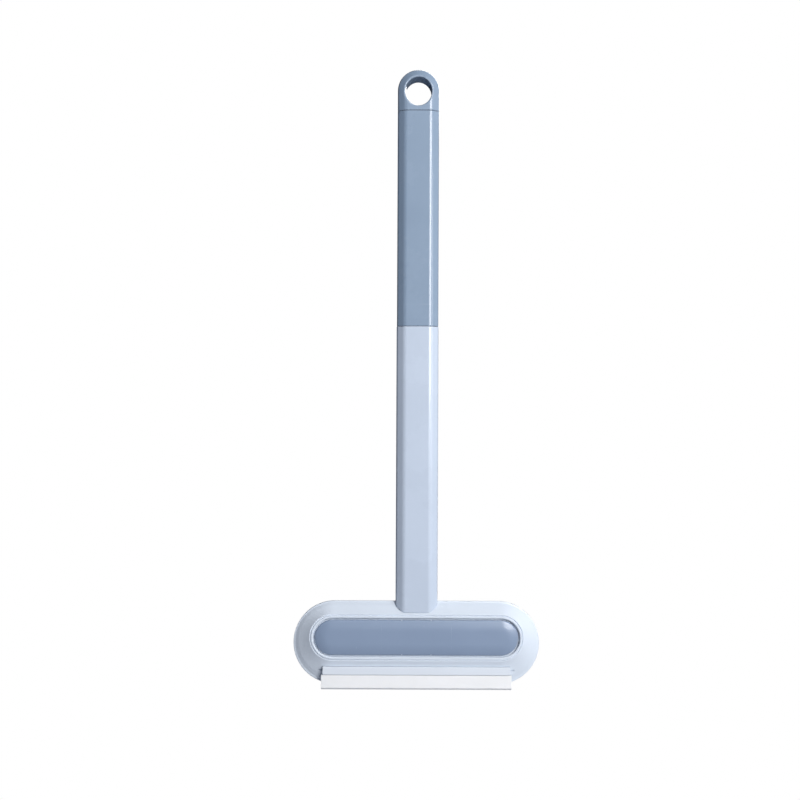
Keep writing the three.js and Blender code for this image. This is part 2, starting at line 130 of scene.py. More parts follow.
BACK_Y = back_high.y
POCKET_W = 160.0
POCKET_H = 39.0
POCKET_FLOOR_Y = 4.6
BACK_CEILING_Y = POCKET_FLOOR_Y - WALL

# The slope between rim and plateau. side is the way it faces along Y.
FRONT = {"side": -1, "w": 160.8, "h": 35.2, "up": PANEL_Z - HEAD_Z, "y": FRONT_Y, "bulge": -0.2}
BACK = {"side": 1, "w": 169.0, "h": 47.0, "up": 0.0, "y": BACK_Y, "bulge": 0.3}

HOLDER_H = 6.0
HOLDER_BACK_Y = 4.8
SLOT_FLOOR_Y = 4.5
SLIT_L = 3.2
SLIT_H = 1.4
SLIT_EXTRA = 0.9  # how much deeper the slit is than the slot
PEG_X = (-45, 0, 45)
PEG_W = 8.0
PEG_TOP, PEG_FOOT = 1.8, 4.2  # below the holder's top
BLADE_EXTRA = 0.6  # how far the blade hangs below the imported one

SHELL_SCREWS = [(i * 62.0, HEAD_Z + k * 11.3) for i in (-1, 1) for k in (-1, 1)]
NECK_SCREWS = [(x, -403.0) for x in (-6.0, 6.0)]
TUBE_SCREW_Z = {"cap": -24.5, "coupler": -164.5, "pole": -371.0}
SCREW_HEAD_R = 2.8
SCREW_HEAD_T = 1.2
SCREW_SHANK_R = 1.35
SCREW_HOLE_R = 1.65
CLIPS = [(i * 50, HEAD_Z + k * 15) for i in (-1, 1) for k in (-1, 1)]


# ---------------------------------------------------------------- outlines

def rounded(corners, closed=True, steps=6):
    """A polyline with its corners turned into arcs. Each corner is (a, b, radius)."""
    points = []
    count = len(corners)
    for i, (a, b, radius) in enumerate(corners):
        corner = np.array((a, b), float)
        if radius == 0 or (not closed and i in (0, count - 1)):
            points.append((a, b))
            continue
        back = np.array(corners[i - 1][:2]) - corner
        on = np.array(corners[(i + 1) % count][:2]) - corner
        back, on = back / np.linalg.norm(back), on / np.linalg.norm(on)
        half = math.acos(np.clip(back @ on, -1, 1)) / 2
        middle = (back + on) / np.linalg.norm(back + on)
        centre = corner + middle * radius / math.sin(half)
        start = corner + back * radius / math.tan(half) - centre
        end = corner + on * radius / math.tan(half) - centre
        sweep = math.atan2(start[0] * end[1] - start[1] * end[0], start @ end)
        for s in range(steps + 1):
            c, d = math.cos(sweep * s / steps), math.sin(sweep * s / steps)
            points.append((centre[0] + start[0] * c - start[1] * d,
                           centre[1] + start[0] * d + start[1] * c))
    return points


def handle_section(inset=0.0, steps=8):
    """The handle's eight-sided section in X and Y, made smaller all round by inset."""
    tilt = math.atan2((HANDLE_D - SIDE_D) / 2, (HANDLE_W - FLAT_W) / 2)
    w = HANDLE_W / 2 - inset
    d = HANDLE_D / 2 - inset
    flat = FLAT_W / 2 - inset * math.tan(tilt / 2)
    side = SIDE_D / 2 - inset * math.tan((math.pi / 2 - tilt) / 2)
    front = max(FRONT_CORNER_R - inset, 0.8)
    edge = max(SIDE_CORNER_R - inset, 0.8)
    right = [(flat, -d, front), (w, -side, edge), (w, side, edge), (flat, d, front)]
    left = [(-x, y, r) for x, y, r in reversed(right)]
    return rounded(right + left, steps=steps)


def stadium(w, h, z):
    """A stadium in X and Z: width, height and the height of its centre."""
    arc, straight = 44, 12
    r = h / 2
    reach = w / 2 - r
    points = []
    for side in (1, -1):
        for s in range(arc + 1):
            a = -math.pi / 2 + math.pi * s / arc
            points.append((side * (reach + r * math.cos(a)), z + side * r * math.sin(a)))
        for s in range(1, straight):
            points.append((side * reach * (1 - 2 * s / straight), z + side * r))
    return points


def mix(a, b, t):
    return a + (b - a) * t


def slope_height(form, u):
    """How far the slope stands off the split: u is 0 at the rim and 1 at the plateau's edge."""
    bulge = math.sin(math.pi * u / 2) - u
    return RIM_HALF + (form["y"] - RIM_HALF) * (u + form["bulge"] * bulge)


def slope_outline(form, u, grow=0.0):
    w = mix(HEAD_W, form["w"], u) + 2 * grow
    h = mix(HEAD_H, form["h"], u) + 2 * grow
    return stadium(w, h, HEAD_Z + form["up"] * u)


# ---------------------------------------------------------------- meshes

def linked(name, data):
    """A new object, put in the scene."""
    made = bpy.data.objects.new(name, data)
    bpy.context.scene.collection.objects.link(made)
    return made


def new_object(name, vertices, faces):
    """An object from millimetre points, with its faces turned outwards."""
    mesh = bpy.data.meshes.new(name)
    mesh.from_pydata([Vector(v) * MM for v in vertices], [], faces)
    bm = bmesh.new()
    bm.from_mesh(mesh)
    bmesh.ops.remove_doubles(bm, verts=bm.verts, dist=0.002 * MM)
    bmesh.ops.recalc_face_normals(bm, faces=bm.faces)
    bm.to_mesh(mesh)
    bm.free()
    return linked(name, mesh)


def ring_faces(rows, count, wrap):
    faces = []
    for r in range(rows if wrap else rows - 1):
        a, b = r * count, ((r + 1) % rows) * count
        for i in range(count):
            j = (i + 1) % count
            faces.append((a + i, a + j, b + j, b + i))
    return faces


def ring_body(name, rings):
    """A closed skin through rings that come back to the first one, like a tube with a wall."""
    return new_object(name, [p for ring in rings for p in ring], ring_faces(len(rings), len(rings[0]), True))


def capped_body(name, rings):
    """A closed skin through rings, with a flat face over the first and the last."""
    count = len(rings[0])
    faces = ring_faces(len(rings), count, False)
    faces.append(tuple(range(count)))
    faces.append(tuple(range((len(rings) - 1) * count, len(rings) * count)))
    return new_object(name, [p for ring in rings for p in ring], faces)


def at_depth(outline, y):
    """An outline in X and Z as a ring of points at one depth."""
    return [(x, y, z) for x, z in outline]


def bar_x(name, outline, x0, x1):
    return capped_body(name, [[(x, y, z) for y, z in outline] for x in (x0, x1)])


def box(xs, ys, zs):
    corners = [(x, ys[0], zs[0]) for x in xs] + [(x, ys[1], zs[0]) for x in reversed(xs)]
    return capped_body("box", [corners, [(x, y, zs[1]) for x, y, _ in corners]])


def turned(profile, x, z, steps=40):
    """A solid turned about an axis along Y. The profile is (radius, y), and starts and ends on the axis."""
    rings = [[(x + r * math.cos(a), y, z + r * math.sin(a))
              for a in (2 * math.pi * s / steps for s in range(steps))] for r, y in profile]
    return capped_body("turned", rings)


def evaluated(piece):
    """Turns the piece's modifiers into plain mesh."""
    graph = bpy.context.evaluated_depsgraph_get()
    mesh = bpy.data.meshes.new_from_object(piece.evaluated_get(graph), depsgraph=graph)
    mesh.name = piece.name
    piece.modifiers.clear()
    piece.data = mesh
    return piece


def boolean(piece, tools, operation="DIFFERENCE"):
    for tool in tools:
        cut = piece.modifiers.new("cut", "BOOLEAN")
        cut.operation = operation
        cut.solver = "EXACT"
        cut.object = tool
    evaluated(piece)
    for tool in tools:
        bpy.data.objects.remove(tool)
    return piece


def joined(name, pieces):
    """One object holding several closed bodies that don't touch."""
    bm = bmesh.new()
    for other in pieces:
        bm.from_mesh(other.data)
        bpy.data.objects.remove(other)
    mesh = bpy.data.meshes.new(name)
    bm.to_mesh(mesh)
    bm.free()
    return linked(name, mesh)


def bevelled(piece, width):
    bevel = piece.modifiers.new("bevel", "BEVEL")
    bevel.width = width * MM
    bevel.segments = 3
    bevel.limit_method = "ANGLE"
    bevel.angle_limit = math.radians(60)
    return evaluated(piece)


FULL_TURN = 1.6  # radians in a millimetre that count as a sharp edge


def mark_edges(mesh):
    """Writes how sharply the surface turns, outwards as "edge" and inwards as "nook", from 0 to 1."""
    bm = bmesh.new()
    bm.from_mesh(mesh)
    bm.normal_update()
    edge = np.zeros(len(bm.verts), np.float32)
    nook = np.zeros(len(bm.verts), np.float32)
    for e in bm.edges:
        if len(e.link_faces) != 2:
            continue
        a, b = (f.calc_center_median() for f in e.link_faces)
        turn = e.calc_face_angle_signed(0.0) / max((a - b).length / MM, 0.05) / FULL_TURN
        target = edge if turn > 0 else nook
        for v in e.verts:
            target[v.index] = max(target[v.index], min(abs(turn), 1.0))
    bm.free()
    for name, values in (("edge", edge), ("nook", nook)):
        layer = mesh.attributes.new(name, "FLOAT", "POINT")
        layer.data.foreach_set("value", values)


def smooth(mesh, angle=32):
    mesh.polygons.foreach_set("use_smooth", np.ones(len(mesh.polygons), bool))
    mesh.set_sharp_from_angle(angle=math.radians(angle))


def finished(piece, name, body, material, replaces=(), angle=32):
    """Names the piece, shades it, ties it to its body and its material, and hides the CAD nodes it stands
    for.
    """
    piece.name = name
    piece.data.name = name
    if "edge" not in piece.data.attributes:
        mark_edges(piece.data)
    smooth(piece.data, angle)
    if material:
        piece.data.materials.clear()
        piece.data.materials.append(material)
    even = piece.modifiers.new("even", "WEIGHTED_NORMAL")
    even.keep_sharp = True
    even.weight = 60
    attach(piece, body)
    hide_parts(*(replaces or (name,)))
    return piece


# ---------------------------------------------------------------- shader groups

def group(name, inputs, outputs):
    tree = bpy.data.node_groups.new(name, "ShaderNodeTree")
    for label, kind, value in inputs:
        socket = tree.interface.new_socket(label, in_out="INPUT", socket_type=kind)
        if value is not None:
            socket.default_value = value
    for label, kind in outputs:
        tree.interface.new_socket(label, in_out="OUTPUT", socket_type=kind)
    return tree, tree.nodes.new("NodeGroupInput"), tree.nodes.new("NodeGroupOutput")


def node(tree, kind, sockets=None, **settings):
    """A node with its settings, and its input sockets set to a value or linked to another socket."""
    made = tree.nodes.new(kind)
    for label, value in settings.items():
        setattr(made, label, value)
    for key, value in (sockets or {}).items():
        socket = made.inputs[key]
        if isinstance(value, bpy.types.NodeSocket):
            tree.links.new(value, socket)
        else:
            socket.default_value = value
    return made


def maths(tree, operation, a, b=0.0, clamp=False):
    return node(tree, "ShaderNodeMath", {0: a, 1: b}, operation=operation, use_clamp=clamp).outputs[0]


def span(tree, value, low, high, to_low=0.0, to_high=1.0):
    sockets = {"Value": value, "From Min": low, "From Max": high, "To Min": to_low, "To Max": to_high}
    return node(tree, "ShaderNodeMapRange", sockets).outputs["Result"]


def blend_colours(tree, factor, a, b, how="MIX"):
    mixer = node(tree, "ShaderNodeMix", data_type="RGBA", blend_type=how)
    for index, value in ((0, factor), (6, a), (7, b)):
        if isinstance(value, bpy.types.NodeSocket):
            tree.links.new(value, mixer.inputs[index])
        else:
            mixer.inputs[index].default_value = value
    return mixer.outputs[2]


def object_place(tree):
    return node(tree, "ShaderNodeTexCoord").outputs["Object"]


def attribute(tree, name):
    return node(tree, "ShaderNodeAttribute", attribute_name=name).outputs["Fac"]


def noise(tree, vector, scale, detail=4.0, roughness=0.5):
    sockets = {"Vector": vector, "Scale": scale, "Detail": detail, "Roughness": roughness}
    return node(tree, "ShaderNodeTexNoise", sockets).outputs["Fac"]


def moulding_group():
    """Moulded plastic: fine grain, slow sink waves, rubbed edges, painted shade in nooks with a faint random
    film, and hairline scratches.
    """
    tree, inp, out = group("moulding", [
        ("Colour", "NodeSocketColor", (0.6, 0.65, 0.75, 1)),
        ("Grain size", "NodeSocketFloat", 0.35),
        ("Grain", "NodeSocketFloat", 0.3),
        ("Gloss", "NodeSocketFloat", 0.3),
        ("Wear", "NodeSocketFloat", 0.3),
        ("Dust", "NodeSocketFloat", 0.3),
    ], [("Colour", "NodeSocketColor"), ("Roughness", "NodeSocketFloat"), ("Height", "NodeSocketFloat")])
    place = object_place(tree)
    per_metre = maths(tree, "DIVIDE", 1000.0, inp.outputs["Grain size"])
    grain = noise(tree, place, per_metre, 2.0, 0.6)
    cloud = noise(tree, place, 26.0, 3.0, 0.5)
    wave = noise(tree, place, 9.0, 1.0, 0.4)

    along = node(tree, "ShaderNodeMapping", {"Vector": place, "Scale": (900.0, 900.0, 14.0)}).outputs[0]
    across = node(tree, "ShaderNodeMapping", {"Vector": place, "Scale": (11.0, 700.0, 1100.0)}).outputs[0]
    hairs = maths(tree, "MAXIMUM", noise(tree, along, 1.0, 1.0), noise(tree, across, 1.0, 1.0))
    where = span(tree, noise(tree, place, 55.0, 2.0), 0.5, 0.68)
    scratches = maths(tree, "MULTIPLY", span(tree, hairs, 0.72, 0.8), where)

    ragged = span(tree, noise(tree, place, 420.0, 4.0, 0.65), 0.38, 0.68)
    rubbed = maths(tree, "MULTIPLY", attribute(tree, "edge"), ragged)
    rubbed = maths(tree, "MULTIPLY", rubbed, inp.outputs["Wear"], clamp=True)
    # Painted shade in the nooks, broken up by a fine speckle.
    speckle = span(tree, noise(tree, place, 900.0, 3.0, 0.7), 0.45, 0.75)
    painted_nook_shade = maths(tree, "MULTIPLY", attribute(tree, "nook"), speckle)
    film = maths(tree, "MULTIPLY", span(tree, cloud, 0.5, 0.8), 0.1)
    film_and_nook_shade = maths(tree, "MULTIPLY", maths(tree, "MAXIMUM", painted_nook_shade, film), inp.outputs["Dust"], clamp=True)

    tone = span(tree, cloud, 0.3, 0.7, 0.975, 1.02)
    toned = node(tree, "ShaderNodeCombineColor")
    for i in range(3):
        tree.links.new(tone, toned.inputs[i])
    colour = blend_colours(tree, 1.0, inp.outputs["Colour"], toned.outputs[0], "MULTIPLY")
    colour = blend_colours(tree, maths(tree, "MULTIPLY", rubbed, 0.45), colour, (0.86, 0.89, 0.93, 1))
    # Painted shade: the nooks darken towards dark grey. The faint film mixed in is a random tone.
    colour = blend_colours(tree, maths(tree, "MULTIPLY", film_and_nook_shade, 0.6), colour, (0.20, 0.21, 0.23, 1))
    colour = blend_colours(tree, maths(tree, "MULTIPLY", scratches, 0.12), colour, (0.9, 0.92, 0.95, 1))

    rough = maths(tree, "ADD", inp.outputs["Gloss"], span(tree, cloud, 0.3, 0.7, -0.03, 0.04))
    rough = maths(tree, "ADD", rough, maths(tree, "MULTIPLY", grain, 0.05))
    rough = maths(tree, "ADD", rough, maths(tree, "MULTIPLY", film_and_nook_shade, 0.35))
    rough = maths(tree, "ADD", rough, maths(tree, "MULTIPLY", rubbed, 0.12))
    rough = maths(tree, "ADD", rough, maths(tree, "MULTIPLY", scratches, 0.12), clamp=True)

    height = maths(tree, "MULTIPLY", grain, inp.outputs["Grain"])
    height = maths(tree, "ADD", height, maths(tree, "MULTIPLY", wave, 0.5))
    height = maths(tree, "SUBTRACT", height, maths(tree, "MULTIPLY", scratches, 0.2))
    height = maths(tree, "ADD", height, maths(tree, "MULTIPLY", film_and_nook_shade, 0.12))
    for socket, value in zip(("Colour", "Roughness", "Height"), (colour, rough, height)):
        tree.links.new(value, out.inputs[socket])
    return tree


def weave_group():
    """A plain weave in X and Z: its threads as a height, and a mask of the gaps between them."""
    tree, inp, out = group("weave", [("Thread", "NodeSocketFloat", 0.5)],
                           [("Height", "NodeSocketFloat"), ("Gaps", "NodeSocketFloat")])
    place = object_place(tree)
    parts = node(tree, "ShaderNodeSeparateXYZ", {0: place})
    turns = maths(tree, "DIVIDE", math.pi * 1000.0, inp.outputs["Thread"])
    x = maths(tree, "SINE", maths(tree, "MULTIPLY", parts.outputs["X"], turns))
    z = maths(tree, "SINE", maths(tree, "MULTIPLY", parts.outputs["Z"], turns))
    over = maths(tree, "MULTIPLY", x, z)
    height = maths(tree, "ABSOLUTE", over)
    lift = span(tree, over, -1.0, 1.0, 0.0, 0.35)
    tree.links.new(maths(tree, "ADD", height, lift), out.inputs["Height"])
    tree.links.new(span(tree, height, 0.0, 0.25, 1.0, 0.0), out.inputs["Gaps"])
    return tree


MOULDING = moulding_group()
WEAVE = weave_group()


# ---------------------------------------------------------------- materials

def blank(name):
    material = bpy.data.materials.new(name)
    material.use_nodes = True
    tree = material.node_tree
    tree.nodes.clear()
    shader = tree.nodes.new("ShaderNodeBsdfPrincipled")
    out = tree.nodes.new("ShaderNodeOutputMaterial")
    tree.links.new(shader.outputs[0], out.inputs["Surface"])
    return material, tree, shader


def painted(tree, shader, colour, rough):
    tree.links.new(colour, shader.inputs["Base Color"])
    tree.links.new(rough, shader.inputs["Roughness"])


def fixed(holder, values):
    """Sets a node's own sockets to constant values."""
    for label, value in values.items():
        holder.inputs[label].default_value = value


def bumped(tree, shader, height, strength, distance):
    sockets = {"Height": height, "Strength": strength, "Distance": distance * MM}
    bump = node(tree, "ShaderNodeBump", sockets)
    tree.links.new(bump.outputs["Normal"], shader.inputs["Normal"])


def plastic(name, colour, grain_size=0.35, grain=0.3, gloss=0.3, wear=0.3, film_and_nook_shade=0.25, coat=0.0):
    material, tree, shader = blank(name)
    made = node(tree, "ShaderNodeGroup", node_tree=MOULDING)
    # Painted shade: one of these settings darkens the nooks, along with a faint random film.
    fixed(made, {"Colour": (*colour, 1), "Grain size": grain_size, "Grain": grain, "Gloss": gloss,
                 "Wear": wear, "Dust": film_and_nook_shade})
    painted(tree, shader, made.outputs["Colour"], made.outputs["Roughness"])
    bumped(tree, shader, made.outputs["Height"], 0.35, 0.05)
    fixed(shader, {"IOR": 1.5, "Coat Weight": coat, "Coat Roughness": 0.12})
    return material


def silicone(name):
    """Milky rubber that lets a little light through, with a faint bloom."""
    material, tree, shader = blank(name)
    place = object_place(tree)
    bloom = span(tree, noise(tree, place, 60.0, 4.0, 0.6), 0.35, 0.7)
    colour = blend_colours(tree, bloom, (0.90, 0.90, 0.895, 1), (0.93, 0.925, 0.93, 1))
    # Greys the rubber where its surface turns inwards.
    nook_grey = maths(tree, "MULTIPLY", attribute(tree, "nook"), 0.3)
    colour = blend_colours(tree, nook_grey, colour, (0.6, 0.61, 0.62, 1))
    painted(tree, shader, colour, span(tree, bloom, 0.0, 1.0, 0.42, 0.55))
    stretched = node(tree, "ShaderNodeMapping", {"Vector": place, "Scale": (60.0, 900.0, 900.0)}).outputs[0]
    bumped(tree, shader, noise(tree, stretched, 1.0, 2.0), 0.2, 0.04)
    fixed(shader, {"IOR": 1.42, "Subsurface Weight": 0.25, "Subsurface Radius": (1.0, 0.95, 0.9),
                   "Subsurface Scale": 0.0012})
    return material


def foam(name):
    """Cut foam: small open cells, with painted shade darkening the pore hollows."""
    material, tree, shader = blank(name)
    place = object_place(tree)
    cells = node(tree, "ShaderNodeTexVoronoi", {"Vector": place, "Scale": 1500.0}, feature="SMOOTH_F1")
    fine = noise(tree, place, 2600.0, 3.0, 0.6)
    depth = maths(tree, "MULTIPLY", cells.outputs["Distance"], span(tree, fine, 0.2, 0.8, 0.7, 1.2))
    pores = span(tree, depth, 0.05, 0.5)
    # Painted shade: the pore hollows take the darker colour.
    colour = blend_colours(tree, pores, (0.40, 0.41, 0.43, 1), (0.74, 0.75, 0.77, 1))
    colour = blend_colours(tree, span(tree, noise(tree, place, 45.0), 0.4, 0.7, 0.0, 0.35), colour,
                           (0.70, 0.68, 0.62, 1))
    painted(tree, shader, colour, span(tree, fine, 0.3, 0.7, 0.85, 0.95))
    bumped(tree, shader, pores, 0.8, 0.35)
    shader.inputs["Sheen Weight"].default_value = 0.2
    return material


def backing_cloth(name):
    """The woven ground that the nap stands in, with painted shade in the gaps between its threads."""
    material, tree, shader = blank(name)
    weave = node(tree, "ShaderNodeGroup", node_tree=WEAVE)
    weave.inputs["Thread"].default_value = 0.55
    place = object_place(tree)
    cloud = span(tree, noise(tree, place, 70.0, 5.0, 0.6), 0.35, 0.7)
    colour = blend_colours(tree, cloud, (0.17, 0.22, 0.31, 1), (0.25, 0.31, 0.42, 1))
    # Painted shade: the gaps between the threads are darkened.
    colour = blend_colours(tree, weave.outputs["Gaps"], colour, (0.09, 0.12, 0.18, 1))
    painted(tree, shader, colour, span(tree, cloud, 0.0, 1.0, 0.8, 0.95))
    fuzz = maths(tree, "MULTIPLY", noise(tree, place, 3500.0, 3.0, 0.7), 0.5)
    bumped(tree, shader, maths(tree, "ADD", weave.outputs["Height"], fuzz), 0.7, 0.25)
    fixed(shader, {"Sheen Weight": 0.4, "Sheen Roughness": 0.4})
    return material


def nap_thread(name):
    """Short nylon fibres, each in its own shade and paler towards the tip."""
    material, tree, shader = blank(name)
    shade = attribute(tree, "fibre_shade")
    tip = attribute(tree, "fibre_tip")
    colour = blend_colours(tree, shade, (0.19, 0.25, 0.36, 1), (0.34, 0.42, 0.55, 1))
    colour = blend_colours(tree, maths(tree, "MULTIPLY", tip, 0.45), colour, (0.55, 0.62, 0.72, 1))
    painted(tree, shader, colour, span(tree, shade, 0.0, 1.0, 0.4, 0.6))
    shader.inputs["Sheen Weight"].default_value = 0.3
    return material


def zinc_steel(name):
    """Zinc plated screws: a soft spangle, a fine grain and a little tarnish in the recess."""
    material, tree, shader = blank(name)
    place = object_place(tree)
    spangle = node(tree, "ShaderNodeTexVoronoi", {"Vector": place, "Scale": 1800.0}).outputs["Color"]
    grey = node(tree, "ShaderNodeRGBToBW", {0: spangle}).outputs[0]
    colour = blend_colours(tree, grey, (0.50, 0.51, 0.53, 1), (0.66, 0.67, 0.68, 1))
    tarnish = maths(tree, "MULTIPLY", attribute(tree, "nook"), 0.7)
    colour = blend_colours(tree, tarnish, colour, (0.22, 0.20, 0.17, 1))
    painted(tree, shader, colour, span(tree, grey, 0.0, 1.0, 0.28, 0.42))
    tree.links.new(span(tree, tarnish, 0.0, 1.0, 1.0, 0.6), shader.inputs["Metallic"])
    bumped(tree, shader, noise(tree, place, 5200.0, 2.0), 0.25, 0.03)
    return material


# Each plastic below paints shade into its nooks, mixed with a faint random film, by one of its amounts.
GRIP_PLASTIC = plastic("grip_plastic", (0.255, 0.335, 0.445), gloss=0.24, wear=0.45, film_and_nook_shade=0.2, coat=0.35)
POLE_PLASTIC = plastic("pole_plastic", (0.555, 0.625, 0.735), gloss=0.24, wear=0.35, film_and_nook_shade=0.2, coat=0.35)
SHELL_PLASTIC = plastic("shell_plastic", (0.715, 0.775, 0.855), gloss=0.27, wear=0.35, film_and_nook_shade=0.3)
PANEL_PLASTIC = plastic("panel_plastic", (0.245, 0.315, 0.44), grain_size=0.45, grain=0.5, gloss=0.34,
                        wear=0.4, coat=0.4)
HOLDER_PLASTIC = plastic("holder_plastic", (0.74, 0.785, 0.85), grain=0.4, gloss=0.34, wear=0.3, film_and_nook_shade=0.35)
INNER_PLASTIC = plastic("inner_plastic", (0.50, 0.55, 0.62), grain_size=0.6, grain=0.7, gloss=0.48, wear=0.2)
BLADE_RUBBER = silicone("blade_silicone")
PAD_FOAM = foam("pad_foam_cells")
PAD_CLOTH = backing_cloth("pad_backing_cloth")
PAD_NAP = nap_thread("pad_nap_fibres")
SCREW_STEEL = zinc_steel("screw_zinc")


# ---------------------------------------------------------------- handle

def tube(name, out, inner, foot, top, edge=0.4, lift=None, lift_below=0.0):
    """A tube with the handle's section. out and inner are the insets of its faces; lift copes its foot."""
    chain = rounded([(out, foot, edge), (out, top, edge), (inner, top, edge), (inner, foot, edge)], steps=4)
    rings = []
    for inset, z in chain:
        coped = lift and z < foot + lift_below
        rings.append([(x, y, z + (lift(y) if coped else 0)) for x, y in handle_section(inset)])
    return ring_body(name, rings)


def countersink(z, face):
    """The cutter for a countersunk hole through the back of a tube."""
    rim = SCREW_HEAD_R + GAP
    return turned([(SCREW_HOLE_R, 2), (SCREW_HOLE_R, face - 1.6), (rim, face - 0.1), (rim, face + 1)], 0, z)


def grip_tube():
    piece = tube("grip_tube", 0, TUBE_WALL, grip_low.z, grip_high.z)
    return boolean(piece, [countersink(TUBE_SCREW_Z[k], HANDLE_D / 2) for k in ("cap", "coupler")])


def foot_lift(low):
    """How much higher than low the pole's foot is at a given Y, so that it sits on the head's top slope."""
    clearance = GAP + 0.05

    def lift(y):
        form = FRONT if y < 0 else BACK
        reach = abs(y) - clearance
        steps = 60
        u = next((s / steps for s in range(steps + 1) if slope_height(form, s / steps) >= reach), 1.0)
        if 0 < u < 1:
            before = slope_height(form, u - 1 / steps)
            u -= (1 - (reach - before) / (slope_height(form, u) - before)) / steps
        z = HEAD_Z + form["up"] * u + mix(HEAD_H, form["h"], u) / 2 + clearance
        return max(z, low) - low
    return lift


def pole_tube():
    low = pole_low.z
    piece = tube("pole_tube", -POLE_GROW, TUBE_WALL, low, pole_high.z, 0.45, foot_lift(low), 3.0)
    return boolean(piece, [countersink(TUBE_SCREW_Z["pole"], HANDLE_D / 2 + POLE_GROW)])


def handle_coupler():
    out = TUBE_WALL + GAP
    foot, top = coupler_low.z, coupler_high.z
    lead = rounded([(out, foot + 2.2, 1.0), (out, top, 0.3), (out + WALL, top, 0.3), (out + WALL, foot, 0.3),
                    (out + 0.9, foot, 0.3)], steps=4)
    body = ring_body("handle_coupler", [[(x, y, z) for x, y in handle_section(inset)] for inset, z in lead])
    return boolean(body, [turned([(SCREW_HOLE_R, 2), (SCREW_HOLE_R, HANDLE_D)], 0, TUBE_SCREW_Z["coupler"])])


def section_depth():
    """The section's half depth by distance from the middle, from the flat out to the side."""
    quarter = [p for p in handle_section(steps=48) if p[0] >= 0 and p[1] <= 0]
    quarter.sort(key=lambda p: (p[0], p[1]))
    return [0.0] + [p[0] for p in quarter], [HANDLE_D / 2] + [-p[1] for p in quarter]


def hang_cap():
    """Rings round the hanging hole: over the front, round the side, over the back, through the bore."""
    radii, depths = section_depth()
    seam = CAP_SEAM_Z + GAP / 2
    seam_edge = 0.4
    fillet = 1.3
    corner = math.atan2(seam, CAP_R)
    turns = 176
    # Both lower corners of the cap get a point of their own.
    angles = [corner + 2 * math.pi * s / turns for s in range(turns)] + [math.pi - corner]
    angles = sorted({round(a % (2 * math.pi), 6) for a in angles})

    def outline(a):
        c, s = math.cos(a), math.sin(a)
        reach = CAP_ROUND_Z * s + math.sqrt(CAP_R ** 2 - (CAP_ROUND_Z * c) ** 2)
        if reach * s < CAP_ROUND_Z:
            reach = CAP_R / max(abs(c), 1e-6)
        if s < 0:
            reach = min(reach, seam / s)
        return reach * c, reach * s

    def depth(x, z):
        r = abs(x) if z < CAP_ROUND_Z else math.hypot(x, z - CAP_ROUND_Z)
        d = float(np.interp(r, radii, depths))
        under = seam + seam_edge - z
        if under > 0:
            d -= seam_edge - math.sqrt(max(seam_edge ** 2 - min(under, seam_edge) ** 2, 0))
        return d

    rim = [(HOLE_A * math.cos(a), HOLE_B * math.sin(a)) for a in angles]
    away = []
    for a in angles:
        n = np.array((math.cos(a) / HOLE_A, math.sin(a) / HOLE_B))
        away.append(n / np.linalg.norm(n))
    edge = [outline(math.atan2(z, x)) for x, z in rim]
    half = []
    for phi in np.linspace(0, math.pi / 2, 8):
        ring = []
        for (x, z), n in zip(rim, away):
            px, pz = np.array((x, z)) + n * fillet * (1 - math.cos(phi))
            ring.append((px, depth(px, pz) - fillet * (1 - math.sin(phi)), pz))
        half.append(ring)
    steps = 34
    for s in range(1, steps + 1):
        t = 1 - (1 - s / steps) ** 2
        ring = []
        for (x, z), n, (ex, ez) in zip(rim, away, edge):
            px, pz = mix(x + n[0] * fillet, ex, t), mix(z + n[1] * fillet, ez, t)
            ring.append((px, depth(px, pz), pz))
        half.append(ring)
    front = [[(x, -d, z) for x, d, z in ring] for ring in half]
    middle = [[(x, d * k, z) for x, d, z in half[-1]] for k in (-0.6, -0.2, 0.2, 0.6)]
    back = list(reversed(half))
    bore = [[(x, d * k, z) for x, d, z in half[0]] for k in (0.6, 0.2, -0.2, -0.6)]
    body = ring_body("hang_cap", front + middle + back + bore)
    spigot = tube("spigot", TUBE_WALL + GAP, TUBE_WALL + GAP + WALL, CAP_SEAM_Z - 20, seam - 0.01, 0.3)
    boolean(spigot, [turned([(SCREW_HOLE_R, 2), (SCREW_HOLE_R, HANDLE_D)], 0, TUBE_SCREW_Z["cap"])])
    return joined("hang_cap", [body, spigot])


# ---------------------------------------------------------------- head

def chain_rings(form, chain, inner_w, inner_h, run):
    """Rings from a profile of (distance in from the rim, height off the split)."""
    rings = []
    for d, y in chain:
        if d <= SLOPE_RUN:
            outline = slope_outline(form, d / SLOPE_RUN)
        else:
            t = (d - SLOPE_RUN) / run
            centre = HEAD_Z + form["up"]
            outline = stadium(mix(form["w"], inner_w, t), mix(form["h"], inner_h, t), centre)
        rings.append(at_depth(outline, form["side"] * y))
    return rings


def slope_chain(form, plateau_corner, beyond):
    """The outside of one shell, from the split edge up to the plateau and on through beyond."""
    steps = 12
    rim = [(0.5, GAP / 2, 0), (0, GAP / 2, 0.25), (0, RIM_HALF, 0.55), (1.4, RIM_HALF + 0.4, 1.0)]
    slope = [(SLOPE_RUN * s / steps, slope_height(form, s / steps), 3) for s in range(4, steps)]
    top = [(SLOPE_RUN, form["y"], plateau_corner)]
    return rounded(rim + slope + top + beyond, closed=False, steps=6)


def hollow_rings(form, ceiling):
    """The inside of one shell, from the ceiling down to the split edge."""
    side = form["side"]
    rings = [at_depth(slope_outline(form, 0.8, -1.2), side * ceiling)]
    for s in range(9, 0, -1):
        y = slope_height(form, s / 10) - WALL - 0.2
        if 0.6 < y < ceiling - 0.2:
            rings.append(at_depth(slope_outline(form, s / 10, -1.2), side * y))
    rings.append(at_depth(slope_outline(form, 0, -WALL), side * (GAP / 2 + 0.2)))
    rings.append(at_depth(slope_outline(form, 0, -WALL + 0.2), side * GAP / 2))
    return rings


